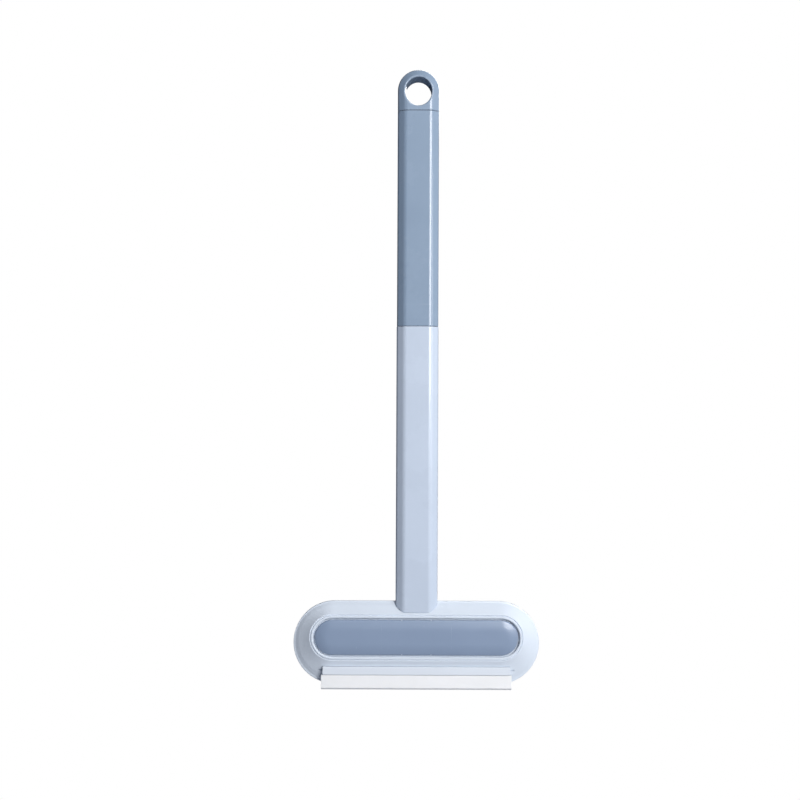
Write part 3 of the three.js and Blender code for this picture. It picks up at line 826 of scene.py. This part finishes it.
def under_skin(form, depth):
    """A solid that stays depth inside one shell's slope, so that nothing cut to it shows through."""
    rings = [at_depth(slope_outline(form, 0, -depth), form["side"] * GAP / 2)]
    for s in range(13):
        y = slope_height(form, s / 12) - depth
        rings.append(at_depth(slope_outline(form, s / 12, -depth), form["side"] * y))
    return capped_body("under_skin", rings)


def squeegee_slot_cutters():
    half = holder_high.x + GAP
    top, foot = holder_high.z + 0.25, holder_high.z - HOLDER_H - 0.25
    middle = (top + foot) / 2
    cutters = [
        box((-half, half), (-20, -SLOT_FLOOR_Y), (foot, top)),
        box((-half - SLIT_L, half + SLIT_L), (-20, -SLOT_FLOOR_Y + SLIT_EXTRA),
            (middle - SLIT_H / 2, middle + SLIT_H / 2)),
    ]
    for x in PEG_X:
        reach = PEG_W / 2 + GAP
        cutters.append(box((x - reach, x + reach), (-SLOT_FLOOR_Y - 1, 0),
                           (holder_high.z - PEG_FOOT - GAP, holder_high.z - PEG_TOP + GAP)))
    return cutters


def head_front_shell():
    wall = SLOPE_RUN + FRONT_RUN - TRENCH_W
    lip = [
        (12.95, FRONT_Y, 0.15), (13.1, FRONT_Y - 0.6, 0.1), (13.55, FRONT_Y - 0.6, 0.1),
        (13.75, LIP_Y, 0.3), (14.8, LIP_Y, 0.35), (wall, LIP_Y - 0.35, 0.15),
        (wall, RECESS_FLOOR_Y - TRENCH_EXTRA, 0), (wall + TRENCH_W + 0.2, RECESS_FLOOR_Y - TRENCH_EXTRA, 0),
        (wall + TRENCH_W + 0.4, RECESS_FLOOR_Y, 0),
    ]
    rings = chain_rings(FRONT, slope_chain(FRONT, 0.5, lip), PANEL_W, PANEL_H, FRONT_RUN)
    rings = rings[::-1] + hollow_rings(FRONT, FRONT_CEILING_Y)[::-1]
    shell = capped_body("head_front_shell", rings)
    backing = box((-77, 77), (-SLOT_FLOOR_Y - 0.5, -SLOT_FLOOR_Y + 1.6),
                  (holder_high.z - HOLDER_H - 2.0, holder_high.z + 2.0))
    boolean(backing, [under_skin(FRONT, 0.3)], "INTERSECT")
    boolean(shell, [backing], "UNION")
    return boolean(shell, squeegee_slot_cutters())


def head_back_shell():
    run = 4.5
    pocket = [(SLOPE_RUN + run, BACK_Y, 0.4), (SLOPE_RUN + run, POCKET_FLOOR_Y, 0)]
    rings = chain_rings(BACK, slope_chain(BACK, 0.9, pocket), POCKET_W, POCKET_H, run)
    rings = rings[::-1] + hollow_rings(BACK, BACK_CEILING_Y)[::-1]
    shell = capped_body("head_back_shell", rings)
    cutters = [turned([(9, 6.4), (10.5, 20)], POCKET_W / 2 - 2, HEAD_Z, 64)]
    cutters += [turned([(SCREW_HOLE_R, -1), (SCREW_HOLE_R, POCKET_FLOOR_Y + 1)], x, z, 20)
                for x, z in SHELL_SCREWS + NECK_SCREWS]
    cutters += [box((x - 4.3, x + 4.3), (1, POCKET_FLOOR_Y + 1), (z - 1.1, z + 1.1)) for x, z in CLIPS]
    return boolean(shell, cutters)


def front_panel():
    """A crowned plate, rolling off towards its edge, with a clip tab on each long edge."""
    top = -panel_low.y
    floor = RECESS_FLOOR_Y + GAP
    roll = 9.0
    crown = 1.6
    wall = top - crown
    edge = [(0.6, floor, 0), (0, floor, 0.3), (0, wall, 1.1), (1.6, wall + 0.55, 0)]
    chain = rounded(edge, closed=False, steps=7)
    for s in range(2, 13):
        inset = 1.6 + (roll - 1.6) * s / 12
        chain.append((inset, wall + crown * (1 - (1 - inset / roll) ** 2)))
    chain.append((12.4, top))
    rings = [at_depth(stadium(PANEL_W - 2 * d, PANEL_H - 2 * d, PANEL_Z), -y) for d, y in chain]
    panel = capped_body("front_panel", rings)
    cutters = []
    for x in (-11, 11):
        for k in (-1, 1):
            edge = PANEL_Z + k * PANEL_H / 2
            zs = sorted((edge - k * 0.75, edge + k * 2))
            cutters.append(box((x - 0.4, x + 0.4), (-20, -floor + 1), zs))
    boolean(panel, cutters)
    tabs = []
    for k in (-1, 1):
        edge = PANEL_Z + k * (PANEL_H / 2 - 1.2)
        inner = edge - k * 1.4
        tabs.append(box((-10, 10), (-floor - 0.5, -4.7), sorted((edge, inner))))
    return boolean(panel, tabs, "UNION")


# ---------------------------------------------------------------- squeegee

def down(points):
    return [(y, holder_high.z - d) for y, d in points]


def squeegee_holder():
    front, back = holder_low.y, -HOLDER_BACK_Y
    corners = [
        (front, 0, 0.6), (back, 0, 0.3), (back, 6.0, 0.3), (front + 3.0, 6.0, 0.2), (front + 3.0, 4.4, 0),
        (front + 3.8, 4.4, 0), (front + 3.8, 1.8, 0.2), (front + 0.8, 1.8, 0.2), (front + 0.8, 4.4, 0),
        (front + 1.0, 4.4, 0), (front + 1.0, 6.0, 0.15), (front, 6.0, 0.55),
    ]
    profile = down(rounded(corners, steps=4))
    holder = bar_x("squeegee_holder", profile, holder_low.x, holder_high.x)
    bevelled(holder, 0.45)
    pegs = [box((x - PEG_W / 2, x + PEG_W / 2), (back - 0.2, -2.0),
                (holder_high.z - PEG_FOOT, holder_high.z - PEG_TOP)) for x in PEG_X]
    return boolean(holder, pegs, "UNION")


def squeegee_blade():
    front = holder_low.y
    foot = holder_high.z - blade_low.z + BLADE_EXTRA
    shoulder = HOLDER_H + GAP
    lip = down(rounded([
        (front + 3.3, shoulder, 0.3), (front + 2.6, foot - 1.5, 2), (front + 2.3, foot, 0.15),
        (front + 2.1, foot, 0.15), (front + 0.9, foot - 1.3, 0.3), (front + 0.85, shoulder, 0.35),
    ], steps=5))
    blade = bar_x("squeegee_blade", lip, blade_low.x, blade_high.x)
    bevelled(blade, 0.35)
    bead = bar_x("bead", down([
        (front + 1.1, 2.1), (front + 3.5, 2.1), (front + 3.5, 4.1), (front + 2.7, 4.1),
        (front + 2.7, shoulder + 0.8), (front + 1.3, shoulder + 0.8), (front + 1.3, 4.1), (front + 1.1, 4.1),
    ]), holder_low.x, holder_high.x)
    return boolean(blade, [bead], "UNION")


# ---------------------------------------------------------------- lint pad

def pad_plate(name, low, high, edge):
    """A stadium plate with rounded edges, as tall and wide as the given box."""
    corners = [(3, low.y, 0), (0, low.y, edge), (0, high.y, edge), (3, high.y, 0)]
    chain = rounded(corners, closed=False, steps=4)
    w, h, z = high.x - low.x, high.z - low.z, (high.z + low.z) / 2
    rings = [at_depth(stadium(w - 2 * d, h - 2 * d, z), y) for d, y in chain]
    return capped_body(name, rings)


def pad_carrier():
    plate_low = Vector((carrier_low.x, 6.5, carrier_low.z))
    plate = pad_plate("pad_carrier", plate_low, carrier_high, 0.35)
    legs = [box((x - 4, x + 4), (carrier_low.y, 6.8), (z - 0.8, z + 0.8)) for x, z in CLIPS]
    return boolean(plate, legs, "UNION")


def swelled(piece, voxel, pressure, most, back_y):
    """Blows a pad up with a short cloth simulation. Its back, up to back_y, stays where it is."""
    remesh = piece.modifiers.new("remesh", "REMESH")
    remesh.mode = "VOXEL"
    remesh.voxel_size = voxel * MM
    evaluated(piece)
    start = np.array([v.co for v in piece.data.vertices])
    glued = piece.vertex_groups.new(name="glued")
    glued.add([i for i, co in enumerate(start) if co[1] < back_y * MM], 1.0, "REPLACE")
    cloth = piece.modifiers.new("cloth", "CLOTH")
    cloth.settings.use_pressure = True
    cloth.settings.uniform_pressure_force = pressure
    cloth.settings.vertex_group_mass = "glued"
    cloth.settings.quality = 6
    cloth.settings.effector_weights.gravity = 0
    scene = bpy.context.scene
    for step in range(1, 21):
        scene.frame_set(step)
        bpy.context.view_layer.update()
    graph = bpy.context.evaluated_depsgraph_get()
    moved = np.array([v.co for v in piece.evaluated_get(graph).data.vertices])
    travel = moved - start
    length = np.linalg.norm(travel, axis=1, keepdims=True)
    travel *= np.minimum(1, most * MM / np.maximum(length, 1e-9))
    piece.modifiers.clear()
    piece.vertex_groups.clear()
    piece.data.vertices.foreach_set("co", (start + travel).astype(np.float32).ravel())
    scene.frame_set(1)
    return piece


def softened(piece, levels=1):
    """Relaxes the remeshed surface and rounds it off."""
    relax = piece.modifiers.new("relax", "SMOOTH")
    relax.factor = 0.5
    relax.iterations = 6
    finer = piece.modifiers.new("finer", "SUBSURF")
    finer.levels = finer.render_levels = levels
    return evaluated(piece)


def pad_foam():
    inset = Vector((0.2, 0.05, 0.2))
    slab = pad_plate("pad_foam", foam_low + inset, foam_high - inset, 0.4)
    return softened(swelled(slab, 1.3, 1.0, 0.12, foam_low.y + 0.4), 0)


def fibre():
    """One nap fibre, 1 mm long up Y, that bends over as it rises. "fibre_tip" runs from 0 to 1 along it."""
    rings = []
    for height, across, over in ((0, 0.05, 0), (0.45, 0.045, 0.1), (0.8, 0.035, 0.3)):
        rings.append([(across * math.cos(a) + over, height, across * math.sin(a))
                      for a in (0, 2 * math.pi / 3, 4 * math.pi / 3)])
    points = [p for ring in rings for p in ring] + [(0.5, 1.0, 0)]
    faces = ring_faces(3, 3, False) + [(6, 7, 9), (7, 8, 9), (8, 6, 9), (0, 2, 1)]
    thread = new_object("fibre", points, faces)
    layer = thread.data.attributes.new("fibre_tip", "FLOAT", "POINT")
    layer.data.foreach_set("value", [v.co.y / MM for v in thread.data.vertices])
    return thread


def geometry_tree(name, inputs):
    """A Geometry Nodes tree with named inputs, and the identifier of each input by its name."""
    tree = bpy.data.node_groups.new(name, "GeometryNodeTree")
    tree.interface.new_socket("Geometry", in_out="INPUT", socket_type="NodeSocketGeometry")
    keys = {}
    for label, kind, value in inputs:
        socket = tree.interface.new_socket(label, in_out="INPUT", socket_type=kind)
        if value is not None:
            socket.default_value = value
        keys[label] = socket.identifier
    tree.interface.new_socket("Geometry", in_out="OUTPUT", socket_type="NodeSocketGeometry")
    return tree, keys, tree.nodes.new("NodeGroupInput"), tree.nodes.new("NodeGroupOutput")


def realised(tree, instances, material):
    """Turns instances into mesh and gives it its material."""
    real = node(tree, "GeometryNodeRealizeInstances", {"Geometry": instances})
    sockets = {"Geometry": real.outputs[0], "Material": material}
    return node(tree, "GeometryNodeSetMaterial", sockets).outputs[0]


def grown(piece, tree, keys, values):
    """Runs a Geometry Nodes tree on the piece, with its inputs set by identifier."""
    modifier = piece.modifiers.new(tree.name, "NODES")
    modifier.node_group = tree
    for label, value in values.items():
        modifier[keys[label]] = value
    return evaluated(piece)


def nap_tree(thread):
    """Plants leaning fibres on the faces that point backwards and joins them to the ground cloth."""
    tree, keys, inp, out = geometry_tree("nap", [
        ("Per square metre", "NodeSocketFloat", 1.0e6),
        ("Length", "NodeSocketFloat", 1.0),
        ("Lean", "NodeSocketFloat", 0.6),
        ("Seed", "NodeSocketInt", 7),
        ("Material", "NodeSocketMaterial", None),
    ])
    normal = node(tree, "GeometryNodeInputNormal").outputs[0]
    facing = node(tree, "ShaderNodeSeparateXYZ", {0: normal}).outputs["Y"]
    chosen = node(tree, "FunctionNodeCompare", {0: facing, 1: 0.55}, operation="GREATER_THAN").outputs[0]
    points = node(tree, "GeometryNodeDistributePointsOnFaces", {
        "Mesh": inp.outputs["Geometry"], "Selection": chosen,
        "Density": inp.outputs["Per square metre"], "Seed": inp.outputs["Seed"]})
    spread = node(tree, "FunctionNodeRandomValue", {
        "Min": (-0.22, -0.9, -0.22), "Max": (0.22, 0.9, 0.22), "Seed": inp.outputs["Seed"]},
        data_type="FLOAT_VECTOR").outputs[0]
    lean = node(tree, "ShaderNodeCombineXYZ", {"X": inp.outputs["Lean"], "Y": math.pi / 2})
    turn = node(tree, "ShaderNodeVectorMath", {0: spread, 1: lean.outputs[0]}, operation="ADD").outputs[0]
    size = node(tree, "FunctionNodeRandomValue", {2: 0.75, 3: 1.15, "Seed": inp.outputs["Seed"]}).outputs[1]
    size = maths(tree, "MULTIPLY", size, inp.outputs["Length"])
    source = node(tree, "GeometryNodeObjectInfo", {"Object": thread})
    planted = node(tree, "GeometryNodeInstanceOnPoints", {
        "Points": points.outputs["Points"], "Instance": source.outputs["Geometry"],
        "Rotation": turn, "Scale": size})
    shade = node(tree, "FunctionNodeRandomValue", {2: 0.0, 3: 1.0, "Seed": 23}).outputs[1]
    shaded = node(tree, "GeometryNodeStoreNamedAttribute", {
        "Geometry": planted.outputs["Instances"], "Name": "fibre_shade", "Value": shade},
        data_type="FLOAT", domain="INSTANCE")
    dyed = realised(tree, shaded.outputs[0], inp.outputs["Material"])
    both = tree.nodes.new("GeometryNodeJoinGeometry")
    tree.links.new(inp.outputs["Geometry"], both.inputs[0])
    tree.links.new(dyed, both.inputs[0])
    tree.links.new(both.outputs[0], out.inputs[0])
    return tree, keys


def pad_nap():
    inset = Vector((0.3, 0.15, 0.3))
    low, high = nap_low + inset, nap_high - inset - Vector((0, 0.75, 0))
    pad = pad_plate("pad_nap", low, high, 0.45)
    softened(swelled(pad, 1.1, 4.0, 0.45, nap_low.y + 0.55))
    pad.data.materials.clear()
    pad.data.materials.append(PAD_CLOTH)
    thread = fibre()
    tree, keys = nap_tree(thread)
    grown(pad, tree, keys, {
        "Per square metre": 3.4e6, "Length": 1.25, "Lean": 0.62, "Seed": 7, "Material": PAD_NAP})
    bpy.data.objects.remove(thread)
    return pad


# ---------------------------------------------------------------- screws

def screw(face, tip, countersunk):
    """A cross-headed screw along Y whose head faces +Y, with its head's top at face."""
    if countersunk:
        head = [(SCREW_SHANK_R, face - 1.6, 0.1), (SCREW_HEAD_R, face - 0.25, 0.1),
                (SCREW_HEAD_R - 0.1, face, 0.12)]
    else:
        under = face - SCREW_HEAD_T
        head = [(SCREW_SHANK_R, under, 0), (SCREW_HEAD_R, under, 0.1), (SCREW_HEAD_R, face - 0.45, 0.3),
                (SCREW_HEAD_R - 0.9, face, 0.8)]
    corners = [(0.2, tip, 0), (SCREW_SHANK_R, tip + 1.2, 0.1)] + head + [(0.3, face, 0)]
    profile = rounded(corners, closed=False, steps=4)
    body = turned(profile, 0, 0, 36)
    arms = []
    for long, thin in ((1.6, 0.32), (0.32, 1.6)):
        low = [(x * 0.75, face - 0.95, z * 0.75) for x, z in
               ((-long, -thin), (long, -thin), (long, thin), (-long, thin))]
        high = [(x, face + 0.5, z) for x, z in ((-long, -thin), (long, -thin), (long, thin), (-long, thin))]
        arms.append(capped_body("arm", [low, high]))
    boolean(body, arms)
    mark_edges(body.data)
    return body


def fastener_tree():
    """Puts one screw on every vertex, each turned by a random amount about its own axis."""
    tree, keys, inp, out = geometry_tree("fasteners", [
        ("Screw", "NodeSocketObject", None),
        ("Seed", "NodeSocketInt", 3),
        ("Material", "NodeSocketMaterial", None),
    ])
    source = node(tree, "GeometryNodeObjectInfo", {"Object": inp.outputs["Screw"]})
    spin = node(tree, "FunctionNodeRandomValue", {
        "Min": (0, 0, 0), "Max": (0, math.pi, 0), "Seed": inp.outputs["Seed"]},
        data_type="FLOAT_VECTOR").outputs[0]
    placed = node(tree, "GeometryNodeInstanceOnPoints", {
        "Points": inp.outputs["Geometry"], "Instance": source.outputs["Geometry"], "Rotation": spin})
    tree.links.new(realised(tree, placed.outputs[0], inp.outputs["Material"]), out.inputs[0])
    return tree, keys


FASTENERS, FASTENER_KEYS = fastener_tree()


def screws_at(name, source, spots, seed):
    """Screws at (x, y, z) spots, as a plain mesh."""
    mesh = bpy.data.meshes.new(name)
    mesh.from_pydata([Vector(p) * MM for p in spots], [], [])
    piece = linked(name, mesh)
    grown(piece, FASTENERS, FASTENER_KEYS, {"Screw": source, "Seed": seed, "Material": SCREW_STEEL})
    bpy.data.objects.remove(source)
    return piece


def handle_screws():
    face = HANDLE_D / 2 - 0.1
    spots = [(0, 0, TUBE_SCREW_Z[k]) for k in ("cap", "coupler")]
    return screws_at("handle_screws", screw(face, 2.6, True), spots, 3)


def pole_screw():
    face = HANDLE_D / 2 + POLE_GROW - 0.1
    return screws_at("pole_screw", screw(face, 2.6, True), [(0, 0, TUBE_SCREW_Z["pole"])], 5)


def head_screws(name, spots, tip, seed):
    face = POCKET_FLOOR_Y + GAP + SCREW_HEAD_T
    return screws_at(name, screw(face, tip, False), [(x, 0, z) for x, z in spots], seed)


# ---------------------------------------------------------------- assembly

def shape(make, body, material, angle=32):
    """A piece that stands for the one CAD node its function is named after."""
    name = make.__name__
    return finished(make(), f"{name}_shape", body, material, (name,), angle)


shape(hang_cap, "grip", GRIP_PLASTIC)
shape(grip_tube, "grip", GRIP_PLASTIC)
shape(handle_coupler, "grip", INNER_PLASTIC)
finished(handle_screws(), "handle_screws", "grip", None, ("cap_screw", "coupler_screw"))

shape(pole_tube, "head", POLE_PLASTIC)
shape(pole_screw, "head", None)
shape(head_front_shell, "head", SHELL_PLASTIC)
shape(head_back_shell, "head", SHELL_PLASTIC)
shape(front_panel, "head", PANEL_PLASTIC)
finished(head_screws("shell_screws", SHELL_SCREWS, -5.2, 11), "shell_screws", "head", None,
         [f"shell_screw_{i}" for i in range(1, 5)])
finished(head_screws("neck_screws", NECK_SCREWS, -3.2, 13), "neck_screws", "head", None,
         [f"neck_screw_{i}" for i in range(1, 3)])

shape(squeegee_holder, "squeegee", HOLDER_PLASTIC)
shape(squeegee_blade, "squeegee", BLADE_RUBBER)

shape(pad_carrier, "lint_pad", INNER_PLASTIC)
foam_piece = shape(pad_foam, "lint_pad", PAD_FOAM)
nap_piece = shape(pad_nap, "lint_pad", None, angle=75)

# The neck insert's own shape is right, and only its finish is new.
neck = frame["nodes"]["neck_insert"]
neck.data.materials.clear()
neck.data.materials.append(INNER_PLASTIC)


# ---------------------------------------------------------------- floor, light and camera

def floor():
    """A pale floor under the brush. Seen straight on it is plain, and it gives little light back."""
    material, tree, shader = blank("floor_pale")
    out = next(n for n in tree.nodes if n.type == "OUTPUT_MATERIAL")
    fixed(shader, {"Base Color": (0.22, 0.24, 0.28, 1), "Roughness": 0.9})
    plain = node(tree, "ShaderNodeEmission", {"Color": (1, 1, 1, 1), "Strength": 1.0})
    seen = node(tree, "ShaderNodeLightPath").outputs["Is Camera Ray"]
    both = node(tree, "ShaderNodeMixShader", {0: seen, 1: shader.outputs[0], 2: plain.outputs[0]})
    tree.links.new(both.outputs[0], out.inputs["Surface"])
    reach, z = 12000, blade_low.z - 150
    slab = capped_body("floor", [[(x, y, h) for x, y in ((-reach, -reach), (reach, -reach), (reach, reach),
                                                         (-reach, reach))] for h in (z - 10, z)])
    slab.data.materials.append(material)


def world():
    """A studio that is darker on the left, behind, below and overhead. The camera sees it plain white."""
    space = bpy.data.worlds.new("studio")
    bpy.context.scene.world = space
    space.use_nodes = True
    tree = space.node_tree
    tree.nodes.clear()
    way = node(tree, "ShaderNodeTexCoord").outputs["Generated"]
    parts = node(tree, "ShaderNodeSeparateXYZ", {0: way})
    sideways = node(tree, "ShaderNodeValToRGB", {0: span(tree, parts.outputs["X"], -1.0, 1.0)})
    ramp = sideways.color_ramp
    ramp.elements[0].position, ramp.elements[0].color = 0.0, (0.04, 0.055, 0.09, 1)
    ramp.elements[1].position, ramp.elements[1].color = 1.0, (0.45, 0.48, 0.53, 1)
    for position, colour in ((0.34, (0.06, 0.08, 0.13, 1)), (0.52, (0.42, 0.45, 0.50, 1)),
                             (0.70, (0.58, 0.61, 0.66, 1))):
        ramp.elements.new(position).color = colour
    upward = span(tree, parts.outputs["Z"], -0.38, 0.32, 0.05, 1.0)
    behind = span(tree, parts.outputs["Y"], 0.2, 0.9, 1.0, 0.15)
    overhead = span(tree, parts.outputs["Z"], 0.4, 1.0, 1.0, 0.45)
    strength = maths(tree, "MULTIPLY", maths(tree, "MULTIPLY", upward, behind), overhead)
    lit = node(tree, "ShaderNodeBackground", {"Color": sideways.outputs[0], "Strength": strength})
    seen = node(tree, "ShaderNodeBackground", {"Color": (1, 1, 1, 1), "Strength": 1.0})
    camera_ray = node(tree, "ShaderNodeLightPath").outputs["Is Camera Ray"]
    both = node(tree, "ShaderNodeMixShader", {0: camera_ray, 1: lit.outputs[0], 2: seen.outputs[0]})
    out = tree.nodes.new("ShaderNodeOutputWorld")
    tree.links.new(both.outputs[0], out.inputs["Surface"])


def lamp(name, place, target, size, power):
    data = bpy.data.lights.new(name, "AREA")
    data.shape = "RECTANGLE"
    data.size, data.size_y = size
    data.energy = power
    holder = linked(name, data)
    holder.location = place
    holder.rotation_euler = (Vector(target) - Vector(place)).to_track_quat("-Z", "Y").to_euler()


def lights():
    middle = (cad_low + cad_high) / 2
    lamp("key", middle + Vector((1.19, -0.73, 0.15)), middle, (0.3, 0.6), 2.5)
    lamp("front", middle + Vector((0.62, -1.25, 0.42)), middle, (0.6, 0.9), 20)
    lamp("behind", middle + Vector((0.35, 1.1, 0.85)), middle, (0.8, 0.8), 11)


def camera():
    """The brush is seen square on from just under a metre, with its handle leaning a touch to the right."""
    data = bpy.data.cameras.new("view")
    data.sensor_width = 36
    data.lens = 53.976
    data.shift_y = 0.02
    holder = linked("view", data)
    middle = (cad_low + cad_high) / 2
    holder.location = (-0.013, -0.9091, middle.z - 0.0329)
    holder.rotation_euler = (math.pi / 2 + 0.00503, -0.00417, 0)
    bpy.context.scene.camera = holder


floor()
world()
lights()
camera()
bpy.context.scene.view_settings.view_transform = "Standard"

bpy.context.view_layer.update()
